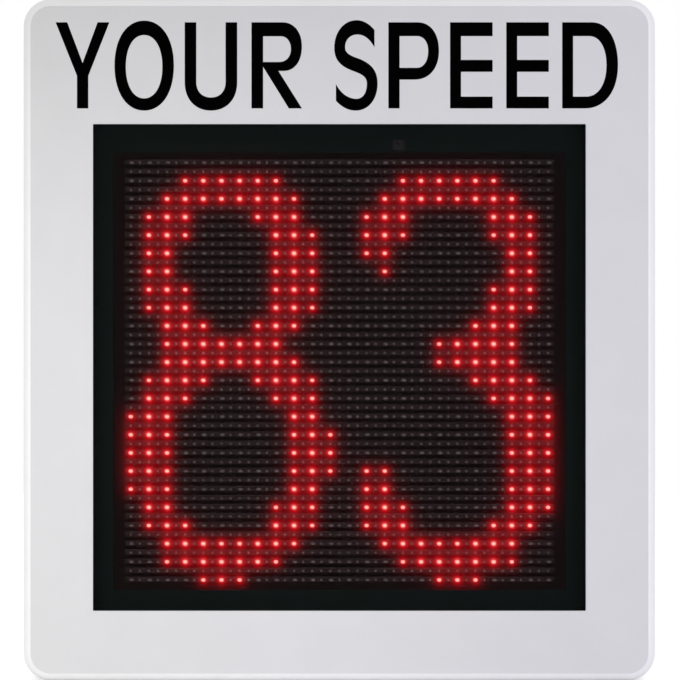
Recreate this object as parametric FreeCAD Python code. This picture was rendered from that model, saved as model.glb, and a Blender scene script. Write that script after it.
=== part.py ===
import FreeCAD, Part
import math
import os

from FreeCAD import Vector

# Radar speed sign. A two-digit lamp display stands behind a clear window in a white moulded cover.
# The cover is hinged on a pressed chassis tray, which bolts to a pole by two rails on its back.
# Sizes are in millimetres: X to the right seen from the front, Y from front to back, Z up.
# A depth is measured backwards from the flat front face of the cover.

# Lamp matrix
lamp_pitch = 20.0
lamp_count = 24
lamp_width = 5.0
lamp_height = 4.0
lamp_length = 3.6
lamp_clearance = 0.1

# Digits, in lamp steps from the top left lamp: middle column, middle row, half width, half height
eight_bowls = [(5.4, 5.8, 5.2, 5.7), (5.3, 16.0, 5.8, 7.3)]
eight_eyes = [(5.3, 5.8, 2.4, 3.6), (5.3, 16.3, 3.3, 4.5)]
three_bowls = [(17.5, 5.5, 5.2, 5.3), (17.8, 16.0, 5.8, 7.2)]
three_eyes = [(17.5, 5.6, 2.7, 3.5), (17.6, 16.2, 3.3, 4.4)]
three_mouth_column = 16.9
three_mouth_top_row = 6.5
three_mouth_bottom_row = 16.5
three_tip_column = 13.5
three_tip_row = 5.5

# Louvre mask and lamp boards
louvre_margin = 6.5
mask_plate = 3.0
mask_border = 21.0
bar_lip = 0.2
bar_reach = 2.5
visor_thickness = 1.2
visor_reach = 8.0
board_thickness = 1.6
board_seam = 0.2

# Black surround of the display, and its pillars
surround_sheet = 2.0
surround_margin = 24.0
surround_flange = 12.0
side_reveal = 13.0
end_reveal = 5.0
display_gap = 6.0
pillar_width = 10.0
pillar_inset = 14.0
pillar_screw_radius = 2.5
pillar_screw_length = 10.0
pan_head_radius = 4.5
pan_head_height = 2.5
screw_clearance = 0.1

# Ambient light sensor on the surround
sensor_width = 13.0
sensor_height = 11.0
sensor_length = 5.0
sensor_corner = 2.0
sensor_left_wall = 3.2
sensor_right_wall = 2.4
sensor_sill = 4.2
sensor_pocket = 3.0
sensor_lens_radius = 2.5
sensor_offset = 65.3
sensor_rise = 7.6

# Window and the bands of the cover's face around it
side_border = 34.0
top_border = 35.0
bottom_border = 26.3
window_corner = 1.0
side_band = 76.5
top_band = 137.5
bottom_band = 76.7

# Moulded cover
corner_radius = 30.0
edge_radius = 8.0
cover_wall = 4.0
cover_setback = 25.0
film_thickness = 0.3
rib_thickness = 3.0
rib_height = 26.0
rib_spacing = 105.0
boss_radius = 4.5
retainer_screw_radius = 2.0
retainer_head_radius = 3.8
retainer_head_height = 2.4

# Window pane and what clamps it
gasket_thickness = 2.0
gasket_setback = 1.0
pane_thickness = 4.0
glazing_overlap = 15.0
retainer_sheet = 2.0
retainer_border = 13.0
retainer_setback = 2.0

# Chassis tray, its sealing frame and the seal
tray_gap = 4.0
tray_depth = 80.0
tray_sheet = 2.0
tray_bend = 6.0
flange_width = 28.0
flange_corner = 4.0
seal_inset = 17.0
seal_width = 10.0
seal_height = 4.0
seal_corner = 8.0
seal_clearance = 0.3
tongue_wall = 4.0

# Hinges on the left
hinge_spacing = 440.0
hinge_length = 80.0
leaf_sheet = 1.4
leaf_width = 32.0
knuckle_radius = 3.2
knuckle_share = 36.0
knuckle_clearance = 0.3
hinge_rim_gap = 1.3
hinge_wall_gap = 0.1
pin_radius = 1.5
pin_clearance = 0.05

# Cam locks on the right
lock_spacing = 400.0
lock_head_radius = 12.0
lock_head_height = 2.4
lock_recess = 3.0
lock_pad_radius = 17.0
lock_pad = 2.5
lock_body_radius = 8.0
lock_core_radius = 5.0
lock_core_clearance = 0.05
lock_nut_width = 22.0
lock_nut_height = 3.5
lock_square = 7.0
lock_fit = 0.1
notch_clearance = 2.0
notch_reach = 14.0
cam_length = 32.0
cam_width = 12.0
cam_sheet = 2.5
cam_gap = 0.3
cam_clearance = 1.5
key_slot_width = 1.6
key_slot_length = 7.0
key_slot_depth = 5.0

# Batteries on their shelf
battery_width = 151.0
battery_height = 94.0
battery_depth = 65.0
battery_gap = 3.0
battery_cap = 6.0
battery_cap_inset = 1.5
terminal_width = 8.0
terminal_height = 5.0
terminal_inset = 14.0
shelf_sheet = 2.0
shelf_rise = 26.0
shelf_lip = 16.0
shelf_back = 45.0
shelf_play = 1.0
strap_sheet = 1.5
strap_width = 25.0
strap_rise = 18.0
strap_foot = 20.0
service_gap = 21.0

# Control box, terminal strip and charge regulator on the rear wall
unit_gap = 40.0
strip_width = 128.0
strip_height = 22.0
strip_depth = 18.0
strip_ways = 8
strip_wall = 2.0
strip_step = 7.0
box_width = 200.0
box_height = 150.0
box_depth = 50.0
box_lid_depth = 14.0
box_wall = 2.5
box_corner = 8.0
box_ear_width = 15.0
box_ear_height = 30.0
box_ear_hole = 2.6
control_board_inset = 8.0
control_board_rise = 9.0
control_boss_radius = 4.0
regulator_width = 140.0
regulator_height = 80.0
regulator_depth = 32.0
regulator_base = 12.0
regulator_fins = 9
regulator_fin = 3.0

# Radar unit behind the top band
radar_width = 120.0
radar_height = 62.0
radar_depth = 30.0
radar_nose = 6.0
radar_nose_inset = 7.0
radar_corner = 8.0
radar_flange_gap = 3.0
bracket_sheet = 2.0
bracket_width = 150.0
bracket_grip = 18.0

# Rails on the back, their bolts, the gland and the breather
rail_spacing = 400.0
rail_length = 460.0
rail_height = 24.0
rail_crown = 40.0
rail_foot = 22.0
rail_sheet = 3.0
rail_bend = 5.0
rail_hole_radius = 5.5
rail_hole_spacing = 300.0
rail_bolt_spacing = 400.0
rail_bolt_radius = 3.0
rail_bolt_width = 10.0
rail_bolt_height = 4.0
rail_nut_height = 5.0
gland_offset = 230.0
gland_rise = 62.0
gland_thread_radius = 8.0
gland_bore_radius = 5.0
gland_width = 24.0
gland_hex = 6.0
gland_dome_radius = 11.0
gland_dome = 13.0
gland_taper = 3.0
gland_tail = 8.0
gland_nut_height = 4.0
vent_cap_radius = 10.0
vent_cap_height = 7.0
vent_stem_radius = 6.0
vent_stem = 9.0

# Sizes that follow in front view
site_pitch = lamp_pitch / 2
site_count = 2 * lamp_count - 1
matrix_span = lamp_pitch * (lamp_count - 1)
louvre_width = matrix_span + 2 * louvre_margin
window_width = louvre_width + 2 * side_border
window_height = louvre_width + top_border + bottom_border
sign_width = window_width + 2 * side_band
sign_height = bottom_band + window_height + top_band
sign_middle = sign_height / 2
window_middle = bottom_band + window_height / 2
matrix_middle = bottom_band + bottom_border + louvre_width / 2
tray_inset = cover_wall + tray_gap
tray_width = sign_width - 2 * tray_inset
tray_height = sign_height - 2 * tray_inset
tray_corner = corner_radius - tray_inset

# Depths that follow, from front to back
pane_front = cover_wall + gasket_thickness
retainer_front = pane_front + pane_thickness
retainer_back = retainer_front + retainer_sheet
visor_front = retainer_back + display_gap
mask_front = visor_front + visor_reach
surround_front = mask_front - surround_sheet
mask_back = mask_front + mask_plate
board_back = mask_back + board_thickness
surround_back = mask_front + surround_flange
shelf_front = surround_back + service_gap
battery_front = shelf_front + shelf_sheet
battery_back = battery_front + battery_depth
tray_floor = battery_back + shelf_sheet
case_depth = tray_floor + tray_sheet
rim_depth = case_depth - tray_depth
flange_back = rim_depth + tray_sheet
cover_depth = case_depth - cover_setback
rail_back = case_depth + rail_height
depth_middle = (rail_back - film_thickness) / 2
past = 1.0


def y_at(depth):
    """Y coordinate of a plane at this depth, with the whole sign centred on Y zero."""
    return depth - depth_middle


def block(x_low, x_high, front, back, z_low, z_high):
    """Box between two depths."""
    corner = Vector(x_low, y_at(front), z_low)
    return Part.makeBox(x_high - x_low, back - front, z_high - z_low, corner)


def plate(width, height, corner, front, back, middle_z, middle_x=0.0):
    """Upright plate with rounded corners, between two depths."""
    solid = block(middle_x - width / 2, middle_x + width / 2, front, back,
                  middle_z - height / 2, middle_z + height / 2)
    if corner <= 0:
        return solid
    upright = [edge for edge in solid.Edges if edge.BoundBox.YLength > (back - front) / 2]
    return solid.makeFillet(corner, upright)


def ring(width, height, corner, wall, front, back, middle_z):
    """Upright rounded frame of one wall thickness."""
    inner = plate(width - 2 * wall, height - 2 * wall, corner - wall, front - past, back + past, middle_z)
    return plate(width, height, corner, front, back, middle_z).cut(inner)


def round_rim(solid, depth, radius):
    """Round the outline of the flat face at this depth."""
    rim = []
    for edge in solid.Edges:
        if abs(edge.BoundBox.Center.y - y_at(depth)) < 0.001 and edge.BoundBox.YLength < 0.001:
            rim.append(edge)
    return solid.makeFillet(radius, rim)


def rod_y(radius, x, z, front, back):
    """Round bar that runs from front to back."""
    return Part.makeCylinder(radius, back - front, Vector(x, y_at(front), z), Vector(0, 1, 0))


def rod_x(radius, depth, z, x_low, x_high):
    """Round bar that runs across the sign."""
    return Part.makeCylinder(radius, x_high - x_low, Vector(x_low, y_at(depth), z), Vector(1, 0, 0))


def hex_y(across_flats, x, z, front, back):
    """Six-sided bar that runs from front to back."""
    corner_distance = across_flats / math.sqrt(3)
    turns = [math.radians(60 * step) for step in range(7)]
    points = [Vector(x + corner_distance * math.cos(turn), y_at(front), z + corner_distance * math.sin(turn))
              for turn in turns]
    return Part.Face(Part.makePolygon(points)).extrude(Vector(0, back - front, 0))


def hex_x(across_flats, depth, z, x_low, x_high):
    """Six-sided bar that runs across the sign."""
    corner_distance = across_flats / math.sqrt(3)
    turns = [math.radians(60 * step) for step in range(7)]
    points = [Vector(x_low, y_at(depth) + corner_distance * math.cos(turn), z + corner_distance * math.sin(turn))
              for turn in turns]
    return Part.Face(Part.makePolygon(points)).extrude(Vector(x_high - x_low, 0, 0))


def across(profile, x_low, x_high):
    """Bar across the sign from a closed outline of (depth, height) points."""
    points = [Vector(x_low, y_at(depth), z) for depth, z in profile]
    face = Part.Face(Part.makePolygon(points + points[:1]))
    return face.extrude(Vector(x_high - x_low, 0, 0))


def merged(first, others):
    """One solid from pieces that are moulded or welded together."""
    return first.fuse(others).removeSplitter()


nodes = {}

# Front cover: outer skin, window, sealing tongue, ribs, screw bosses and lock recesses
lock_depth = flange_back + cam_clearance + cam_width / 2
lock_heights = [sign_middle - lock_spacing / 2, sign_middle + lock_spacing / 2]
wall_inside = sign_width / 2 - cover_wall
pad_face = wall_inside - lock_pad
recess_floor = sign_width / 2 - lock_recess

skin = plate(sign_width, sign_height, corner_radius, 0, cover_depth, sign_middle)
skin = round_rim(skin, 0, edge_radius)
hollow = plate(sign_width - 2 * cover_wall, sign_height - 2 * cover_wall, corner_radius - cover_wall,
               cover_wall, cover_depth + past, sign_middle)
hollow = round_rim(hollow, cover_wall, edge_radius - cover_wall)
cover = skin.cut(hollow)

tongue_inset = tray_inset + seal_inset + (seal_width - tongue_wall) / 2
tongue_width = sign_width - 2 * tongue_inset
tongue_height = sign_height - 2 * tongue_inset
tongue_corner = seal_corner - (seal_width - tongue_wall) / 2
tongue_end = rim_depth - seal_height - seal_clearance
tongue = ring(tongue_width, tongue_height, tongue_corner, tongue_wall, cover_wall, tongue_end, sign_middle)

rib_end = cover_wall + rib_height
rib_reach = tongue_inset + tongue_wall / 2
rib_start = cover_wall / 2
side_rib_count = int(tongue_height // rib_spacing)
end_rib_count = int(tongue_width // rib_spacing)
ribs = []
for step in range(side_rib_count):
    z = sign_middle + (step - (side_rib_count - 1) / 2) * rib_spacing
    for side in (-1, 1):
        ends = sorted((side * (sign_width / 2 - rib_reach), side * (sign_width / 2 - rib_start)))
        ribs.append(block(ends[0], ends[1], rib_start, rib_end, z - rib_thickness / 2, z + rib_thickness / 2))
for step in range(end_rib_count):
    x = (step - (end_rib_count - 1) / 2) * rib_spacing
    for side in (-1, 1):
        ends = sorted((sign_middle + side * (sign_height / 2 - rib_reach),
                       sign_middle + side * (sign_height / 2 - rib_start)))
        ribs.append(block(x - rib_thickness / 2, x + rib_thickness / 2, rib_start, rib_end, ends[0], ends[1]))
ribs = [rib.common(skin) for rib in ribs]

pane_width = window_width + 2 * glazing_overlap
pane_height = window_height + 2 * glazing_overlap
screw_x = pane_width / 2 + retainer_border / 2
screw_z = pane_height / 2 + retainer_border / 2
screw_places = [(side * screw_x, window_middle + step * screw_z) for side in (-1, 1) for step in (-1, 0, 1)]
screw_places += [(0, window_middle + step * screw_z) for step in (-1, 1)]
bosses = [rod_y(boss_radius, x, z, cover_wall / 2, retainer_front) for x, z in screw_places]
pads = [rod_x(lock_pad_radius, lock_depth, z, pad_face, sign_width / 2 - rib_start) for z in lock_heights]

cover = merged(cover, [tongue] + ribs + bosses + pads)
cover = cover.cut(plate(window_width, window_height, window_corner, -past, cover_wall + past, window_middle))
for x, z in screw_places:
    cover = cover.cut(rod_y(retainer_screw_radius, x, z, cover_wall, retainer_front + past))
for z in lock_heights:
    recess_radius = lock_head_radius + lock_fit
    cover = cover.cut(rod_x(recess_radius, lock_depth, z, recess_floor, sign_width / 2 + past))
    cover = cover.cut(rod_x(lock_body_radius + lock_fit, lock_depth, z, pad_face - past, sign_width / 2))
nodes["front_cover"] = cover

# Sheeting on the flat of the face, with the window cut out of it
film = plate(sign_width - 2 * edge_radius, sign_height - 2 * edge_radius, corner_radius - edge_radius,
             -film_thickness, 0, sign_middle)
film = film.cut(plate(window_width, window_height, window_corner, -past, past, window_middle))
nodes["face_sheeting"] = film

# Window: gasket, clear pane, clamping frame and its screws
gasket_hole = plate(window_width + 2 * gasket_setback, window_height + 2 * gasket_setback, window_corner,
                    cover_wall - past, pane_front + past, window_middle)
gasket = plate(pane_width, pane_height, window_corner, cover_wall, pane_front, window_middle)
nodes["window_gasket"] = gasket.cut(gasket_hole)
nodes["window_pane"] = plate(pane_width, pane_height, window_corner, pane_front, retainer_front, window_middle)

retainer_hole = plate(window_width + 2 * retainer_setback, window_height + 2 * retainer_setback, window_corner,
                      retainer_front - past, retainer_back + past, window_middle)
retainer = plate(pane_width + 2 * retainer_border, pane_height + 2 * retainer_border, boss_radius,
                 retainer_front, retainer_back, window_middle)
retainer = retainer.cut(retainer_hole)
retainer_screws = []
for x, z in screw_places:
    retainer = retainer.cut(rod_y(retainer_screw_radius + screw_clearance, x, z,
                                  retainer_front - past, retainer_back + past))
    shank = rod_y(retainer_screw_radius - screw_clearance, x, z, cover_wall, retainer_back)
    head = rod_y(retainer_head_radius, x, z, retainer_back, retainer_back + retainer_head_height)
    retainer_screws.append(shank.fuse(head))
nodes["pane_retainer"] = retainer
nodes["retainer_screws"] = Part.makeCompound(retainer_screws)

# Louvre mask: a plate with a bar for each row of lamps and a visor above the row, on two lamp boards
visor_low = lamp_height / 2 + lamp_clearance
bar_high = visor_low + visor_thickness
bar_low = -(lamp_height / 2 + bar_lip)
bar_front = mask_front - bar_reach
mask_half = louvre_width / 2 + mask_border
louvre_half = louvre_width / 2
bars = []
for row in range(site_count):
    z = matrix_middle + matrix_span / 2 - row * site_pitch
    profile = [(mask_front + mask_plate / 2, z + bar_low), (bar_front, z + bar_low), (bar_front, z + visor_low),
               (visor_front, z + visor_low), (visor_front, z + bar_high),
               (mask_front + mask_plate / 2, z + bar_high)]
    bars.append(across(profile, -louvre_half, louvre_half))
mask_back_plate = block(-mask_half, mask_half, mask_front, mask_back,
                        matrix_middle - mask_half, matrix_middle + mask_half)
nodes["louvre_mask"] = merged(mask_back_plate, bars)

seam_left = (site_pitch - board_seam) / 2
seam_right = (site_pitch + board_seam) / 2
nodes["lamp_board_left"] = block(-mask_half, seam_left, mask_back, board_back,
                                 matrix_middle - mask_half, matrix_middle + mask_half)
nodes["lamp_board_right"] = block(seam_right, mask_half, mask_back, board_back,
                                  matrix_middle - mask_half, matrix_middle + mask_half)


# Lit lamps: a lamp belongs to a digit when it lies on a bowl's stroke, between its outside and its eye
def in_oval(column, row, oval):
    """Whether a lamp lies inside an oval."""
    middle_column, middle_row, half_width, half_height = oval
    return ((column - middle_column) / half_width) ** 2 + ((row - middle_row) / half_height) ** 2 <= 1


def on_digit(column, row, bowls, eyes):
    """Whether a lamp lies on the stroke of a digit made of round bowls."""
    inside = any(in_oval(column, row, bowl) for bowl in bowls)
    return inside and not any(in_oval(column, row, eye) for eye in eyes)


def is_lit(column, row):
    """Whether a lamp is lit while the sign shows its two digits."""
    mouth_top_row = three_tip_row if column < three_tip_column else three_mouth_top_row
    mouth = column < three_mouth_column and mouth_top_row < row < three_mouth_bottom_row
    three = on_digit(column, row, three_bowls, three_eyes) and not mouth
    return three or on_digit(column, row, eight_bowls, eight_eyes)


def lamp(x, z):
    """Oval lamp body that stands on its bar."""
    corners = [(lamp_width / 2, 0), (lamp_width / 4, lamp_height / 2), (-lamp_width / 4, lamp_height / 2),
               (-lamp_width / 2, 0), (-lamp_width / 4, -lamp_height / 2), (lamp_width / 4, -lamp_height / 2)]
    points = [Vector(x + right, y_at(bar_front - lamp_length), z + up) for right, up in corners]
    return Part.Face(Part.makePolygon(points + points[:1])).extrude(Vector(0, lamp_length, 0))


lit_lamps = []
for row in range(lamp_count):
    for column in range(lamp_count):
        if is_lit(column, row):
            lit_lamps.append(lamp(column * lamp_pitch - matrix_span / 2,
                                  matrix_middle + matrix_span / 2 - row * lamp_pitch))
nodes["lit_lamps"] = Part.makeCompound(lit_lamps)

# Black surround: a folded sheet frame that lies on the mask's border and stands on pillars
surround_width = window_width + 2 * surround_margin
surround_height = window_height + 2 * surround_margin
surround = plate(surround_width, surround_height, 0, surround_front, surround_back, window_middle)
surround = surround.cut(plate(surround_width - 2 * surround_sheet, surround_height - 2 * surround_sheet, 0,
                              mask_front, surround_back + past, window_middle))
surround = surround.cut(plate(louvre_width + 2 * side_reveal, louvre_width + 2 * end_reveal, 0,
                              surround_front - past, mask_front + past, matrix_middle))
pillar_x = window_width / 2 + pillar_inset
pillar_z = window_height / 2 + pillar_inset
pillar_places = [(side * pillar_x, window_middle + step * pillar_z) for side in (-1, 1) for step in (-1, 0, 1)]
pillars = []
pillar_screws = []
pillar_hole = pillar_screw_radius + screw_clearance
for x, z in pillar_places:
    surround = surround.cut(rod_y(pillar_hole, x, z, surround_front - past, mask_front + past))
    pillar = hex_y(pillar_width, x, z, mask_front, tray_floor)
    pillar = pillar.cut(rod_y(pillar_hole, x, z, mask_front - past, mask_front + pillar_screw_length))
    pillar = pillar.cut(rod_y(pillar_hole, x, z, tray_floor - pillar_screw_length, tray_floor + past))
    pillars.append(pillar)
    front_shank = rod_y(pillar_screw_radius, x, z, surround_front, mask_front + pillar_screw_length)
    front_head = rod_y(pan_head_radius, x, z, surround_front - pan_head_height, surround_front)
    rear_shank = rod_y(pillar_screw_radius, x, z, tray_floor - pillar_screw_length, case_depth)
    rear_head = rod_y(pan_head_radius, x, z, case_depth, case_depth + pan_head_height)
    pillar_screws.append(front_shank.fuse(front_head))
    pillar_screws.append(rear_shank.fuse(rear_head))
nodes["display_surround"] = surround
nodes["display_pillars"] = Part.makeCompound(pillars)
nodes["pillar_screws"] = Part.makeCompound(pillar_screws)

# Light sensor: a small housing on the surround, with a domed lens in a pocket that is open at the top
sensor_z = matrix_middle + louvre_half + sensor_rise + sensor_height / 2
sensor_front = surround_front - sensor_length
pocket_left = sensor_offset - sensor_width / 2 + sensor_left_wall
pocket_right = sensor_offset + sensor_width / 2 - sensor_right_wall
pocket_low = sensor_z - sensor_height / 2 + sensor_sill
pocket_high = sensor_z + sensor_height / 2
sensor = plate(sensor_width, sensor_height, sensor_corner, sensor_front, surround_front, sensor_z, sensor_offset)
sensor = sensor.cut(block(pocket_left, pocket_right, sensor_front - past, sensor_front + sensor_pocket,
                          pocket_low, pocket_high + past))
lens_x = (pocket_left + pocket_right) / 2
lens_z = (pocket_low + pocket_high) / 2
lens = Part.makeSphere(sensor_lens_radius, Vector(lens_x, y_at(sensor_front + sensor_pocket), lens_z))
lens = lens.common(block(pocket_left, pocket_right, sensor_front, surround_front, pocket_low, pocket_high))
nodes["light_sensor"] = sensor.fuse(lens)

# Chassis tray: a pressed pan, with a flat sealing frame welded on its edge, both notched for the locks
tray = plate(tray_width, tray_height, tray_corner, flange_back, case_depth, sign_middle)
tray = round_rim(tray, case_depth, tray_bend)
pan = plate(tray_width - 2 * tray_sheet, tray_height - 2 * tray_sheet, tray_corner - tray_sheet,
            flange_back - past, tray_floor, sign_middle)
tray = tray.cut(round_rim(pan, tray_floor, tray_bend - tray_sheet))
mouth = plate(tray_width - 2 * flange_width, tray_height - 2 * flange_width, flange_corner,
              rim_depth - past, flange_back + past, sign_middle)
seal_frame = plate(tray_width, tray_height, tray_corner, rim_depth, flange_back, sign_middle).cut(mouth)
notch_half = lock_pad_radius + notch_clearance
notch_start = tray_width / 2 - notch_reach
for z in lock_heights:
    notch = block(notch_start, tray_width / 2 + past, rim_depth - past, lock_depth, z - notch_half, z + notch_half)
    notch = notch.fuse(rod_x(notch_half, lock_depth, z, notch_start, tray_width / 2 + past))
    tray = tray.cut(notch)
    seal_frame = seal_frame.cut(notch)
nodes["seal_frame"] = seal_frame
for x, z in pillar_places:
    tray = tray.cut(rod_y(pillar_hole, x, z, tray_floor - past, case_depth + past))

# Seal on the frame, pressed by the cover's tongue
nodes["cover_seal"] = ring(tray_width - 2 * seal_inset, tray_height - 2 * seal_inset, seal_corner, seal_width,
                           rim_depth - seal_height, rim_depth, sign_middle)

# Hinges: one leaf inside the cover's wall, one on the tray's wall, turning on a pin behind the cover's rim
hinge_x = -(tray_width / 2 + hinge_wall_gap + knuckle_radius)
hinge_depth = cover_depth + hinge_rim_gap + knuckle_radius
leaf_end = hinge_depth - knuckle_radius - knuckle_clearance
leaf_start = hinge_depth - leaf_width
hinge_heights = {"lower": sign_middle - hinge_spacing / 2, "upper": sign_middle + hinge_spacing / 2}


def hinge_leaf(x_low, z_low, z_high, spans):
    """Leaf with a rolled knuckle over each of its spans along the pin."""
    leaf = block(x_low, x_low + leaf_sheet, leaf_start, leaf_end, z_low, z_high)
    rolls = []
    for low, high in spans:
        rolls.append(block(x_low, x_low + leaf_sheet, leaf_start, hinge_depth, low, high))
        rolls.append(Part.makeCylinder(knuckle_radius, high - low, Vector(hinge_x, y_at(hinge_depth), low)))
    leaf = merged(leaf, rolls)
    bore = Part.makeCylinder(pin_radius + pin_clearance, z_high - z_low + 2 * past,
                             Vector(hinge_x, y_at(hinge_depth), z_low - past))
    return leaf.cut(bore)


for name, z in hinge_heights.items():
    low = z - hinge_length / 2
    high = z + hinge_length / 2
    middle_low = z - knuckle_share / 2
    middle_high = z + knuckle_share / 2
    outer_spans = [(low, middle_low - knuckle_clearance), (middle_high + knuckle_clearance, high)]
    nodes["hinge_cover_leaf_" + name] = hinge_leaf(-wall_inside, low, high, [(middle_low, middle_high)])
    nodes["hinge_tray_leaf_" + name] = hinge_leaf(-tray_width / 2 - leaf_sheet, low, high, outer_spans)
    nodes["hinge_pin_" + name] = Part.makeCylinder(pin_radius, hinge_length,
                                                   Vector(hinge_x, y_at(hinge_depth), low))

# Cam locks: barrel and nut in the cover's wall, with a turning core and cam that catch behind the frame
cam_right = pad_face - lock_nut_height - cam_gap
cam_left = cam_right - cam_sheet
for name, z in zip(("lower", "upper"), lock_heights):
    barrel_end = pad_face - lock_nut_height
    barrel = rod_x(lock_body_radius, lock_depth, z, barrel_end, recess_floor)
    barrel = barrel.fuse(rod_x(lock_head_radius, lock_depth, z, recess_floor, recess_floor + lock_head_height))
    barrel = barrel.cut(rod_x(lock_core_radius + lock_core_clearance, lock_depth, z,
                              barrel_end - past, sign_width / 2))
    nut = hex_x(lock_nut_width, lock_depth, z, barrel_end, pad_face)
    nut = nut.cut(rod_x(lock_body_radius + lock_fit, lock_depth, z, barrel_end - past, pad_face + past))
    core = rod_x(lock_core_radius, lock_depth, z, cam_right, recess_floor + lock_head_height)
    square = block(cam_left, cam_right, lock_depth - lock_square / 2, lock_depth + lock_square / 2,
                   z - lock_square / 2, z + lock_square / 2)
    slot_front = recess_floor + lock_head_height - key_slot_depth
    key_slot = block(slot_front, sign_width / 2, lock_depth - key_slot_length / 2, lock_depth + key_slot_length / 2,
                     z - key_slot_width / 2, z + key_slot_width / 2)
    cam = rod_x(cam_width / 2, lock_depth, z, cam_left, cam_right)
    cam = cam.fuse(block(cam_left, cam_right, lock_depth, lock_depth + cam_length,
                         z - cam_width / 2, z + cam_width / 2))
    cam = cam.removeSplitter().cut(square)
    nodes["lock_barrel_" + name] = barrel.removeSplitter()
    nodes["lock_nut_" + name] = nut
    nodes["lock_core_" + name] = core.fuse(square).cut(key_slot)
    nodes["lock_cam_" + name] = cam

# Two batteries side by side on a shelf, held by a strap
shelf_base = tray_inset + tray_sheet + shelf_rise
shelf_top = shelf_base + shelf_sheet
battery_top = shelf_top + battery_height
battery_reach = battery_gap / 2 + battery_width
shelf_half = battery_reach + shelf_play + shelf_sheet


def battery(x_low):
    """Sealed battery with a stepped lid and two terminals."""
    x_high = x_low + battery_width
    case = block(x_low, x_high, battery_front, battery_back, shelf_top, battery_top - battery_cap)
    lid = block(x_low + battery_cap_inset, x_high - battery_cap_inset, battery_front + battery_cap_inset,
                battery_back - battery_cap_inset, battery_top - battery_cap, battery_top)
    middle = (battery_front + battery_back) / 2
    posts = []
    for post_x in (x_low + terminal_inset, x_high - terminal_inset - terminal_width):
        posts.append(block(post_x, post_x + terminal_width, middle - terminal_width / 2, middle + terminal_width / 2,
                           battery_top, battery_top + terminal_height))
    return merged(case, [lid] + posts)


nodes["battery_left"] = battery(-battery_reach)
nodes["battery_right"] = battery(battery_gap / 2)
shelf = block(-shelf_half, shelf_half, shelf_front, tray_floor, shelf_base, shelf_base + shelf_lip)
shelf = shelf.fuse(block(-shelf_half, shelf_half, battery_back, tray_floor, shelf_base, shelf_base + shelf_back))
shelf = shelf.cut(block(-shelf_half + shelf_sheet, shelf_half - shelf_sheet, battery_front, battery_back,
                        shelf_top, battery_top))
nodes["battery_shelf"] = shelf.removeSplitter()
strap_low = shelf_base + shelf_back + strap_rise
strap_high = strap_low + strap_width
strap = block(-battery_reach - strap_sheet, battery_reach + strap_sheet, battery_front - strap_sheet, tray_floor,
              strap_low, strap_high)
strap = strap.cut(block(-battery_reach, battery_reach, battery_front, tray_floor + past,
                        strap_low - past, strap_high + past))
for side in (-1, 1):
    ends = sorted((side * battery_reach, side * (battery_reach + strap_foot)))
    strap = strap.fuse(block(ends[0], ends[1], tray_floor - strap_sheet, tray_floor, strap_low, strap_high))
nodes["battery_strap"] = strap.removeSplitter()

# Terminal strip above the batteries, with a wall between each two ways
strip_base = battery_top + unit_gap
strip_front = tray_floor - strip_depth
strip_way = (strip_width - strip_wall) / strip_ways
strip = block(-strip_width / 2, strip_width / 2, strip_front, tray_floor, strip_base, strip_base + strip_height)
for way in range(strip_ways):
    x = -strip_width / 2 + strip_wall + way * strip_way
    for low, high in ((strip_base - past, strip_base + strip_step),
                      (strip_base + strip_height - strip_step, strip_base + strip_height + past)):
        strip = strip.cut(block(x, x + strip_way - strip_wall, strip_front - past, strip_front + strip_step,
                                low, high))
nodes["terminal_strip"] = strip

# Control box: a base with ears on the rear wall, a board on bosses and a lid
box_base = strip_base + strip_height + unit_gap
box_middle = box_base + box_height / 2
box_front = tray_floor - box_depth
box_joint = box_front + box_lid_depth
box_floor = tray_floor - box_wall
base = plate(box_width, box_height, box_corner, box_joint, tray_floor, box_middle)
base = base.cut(plate(box_width - 2 * box_wall, box_height - 2 * box_wall, box_corner - box_wall,
                      box_joint - past, box_floor, box_middle))
board_front = box_floor - control_board_rise - board_thickness
board_half_x = box_width / 2 - box_wall - control_board_inset
board_half_z = box_height / 2 - box_wall - control_board_inset
additions = []
for side in (-1, 1):
    ends = sorted((side * (box_width / 2 - box_wall), side * (box_width / 2 + box_ear_width)))
    ear = block(ends[0], ends[1], tray_floor - box_wall, tray_floor,
                box_middle - box_ear_height / 2, box_middle + box_ear_height / 2)
    hole_x = side * (box_width + box_ear_width) / 2
    additions.append(ear.cut(rod_y(box_ear_hole, hole_x, box_middle, tray_floor - 2 * box_wall, tray_floor + past)))
    for up in (-1, 1):
        boss_x = side * (board_half_x - control_boss_radius)
        boss_z = box_middle + up * (board_half_z - control_boss_radius)
        additions.append(rod_y(control_boss_radius, boss_x, boss_z, box_floor - control_board_rise, tray_floor))
nodes["control_box_base"] = merged(base, additions)
nodes["control_board"] = block(-board_half_x, board_half_x, board_front, board_front + board_thickness,
                               box_middle - board_half_z, box_middle + board_half_z)
lid = plate(box_width, box_height, box_corner, box_front, box_joint, box_middle)
lid = round_rim(lid, box_front, box_wall)
nodes["control_box_lid"] = lid.cut(plate(box_width - 2 * box_wall, box_height - 2 * box_wall, box_corner - box_wall,
                                         box_front + box_wall, box_joint + past, box_middle))

# Charge regulator with cooling fins
regulator_low = box_base + box_height + unit_gap
regulator_front = tray_floor - regulator_depth
regulator = block(-regulator_width / 2, regulator_width / 2, regulator_front, tray_floor,
                  regulator_low, regulator_low + regulator_height)
fin_pitch = (regulator_width - regulator_fin) / (regulator_fins - 1)
for gap in range(regulator_fins - 1):
    x = -regulator_width / 2 + regulator_fin + gap * fin_pitch
    regulator = regulator.cut(block(x, x + fin_pitch - regulator_fin, regulator_front - past,
                                    tray_floor - regulator_base, regulator_low - past,
                                    regulator_low + regulator_height + past))
nodes["charge_regulator"] = regulator

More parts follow.
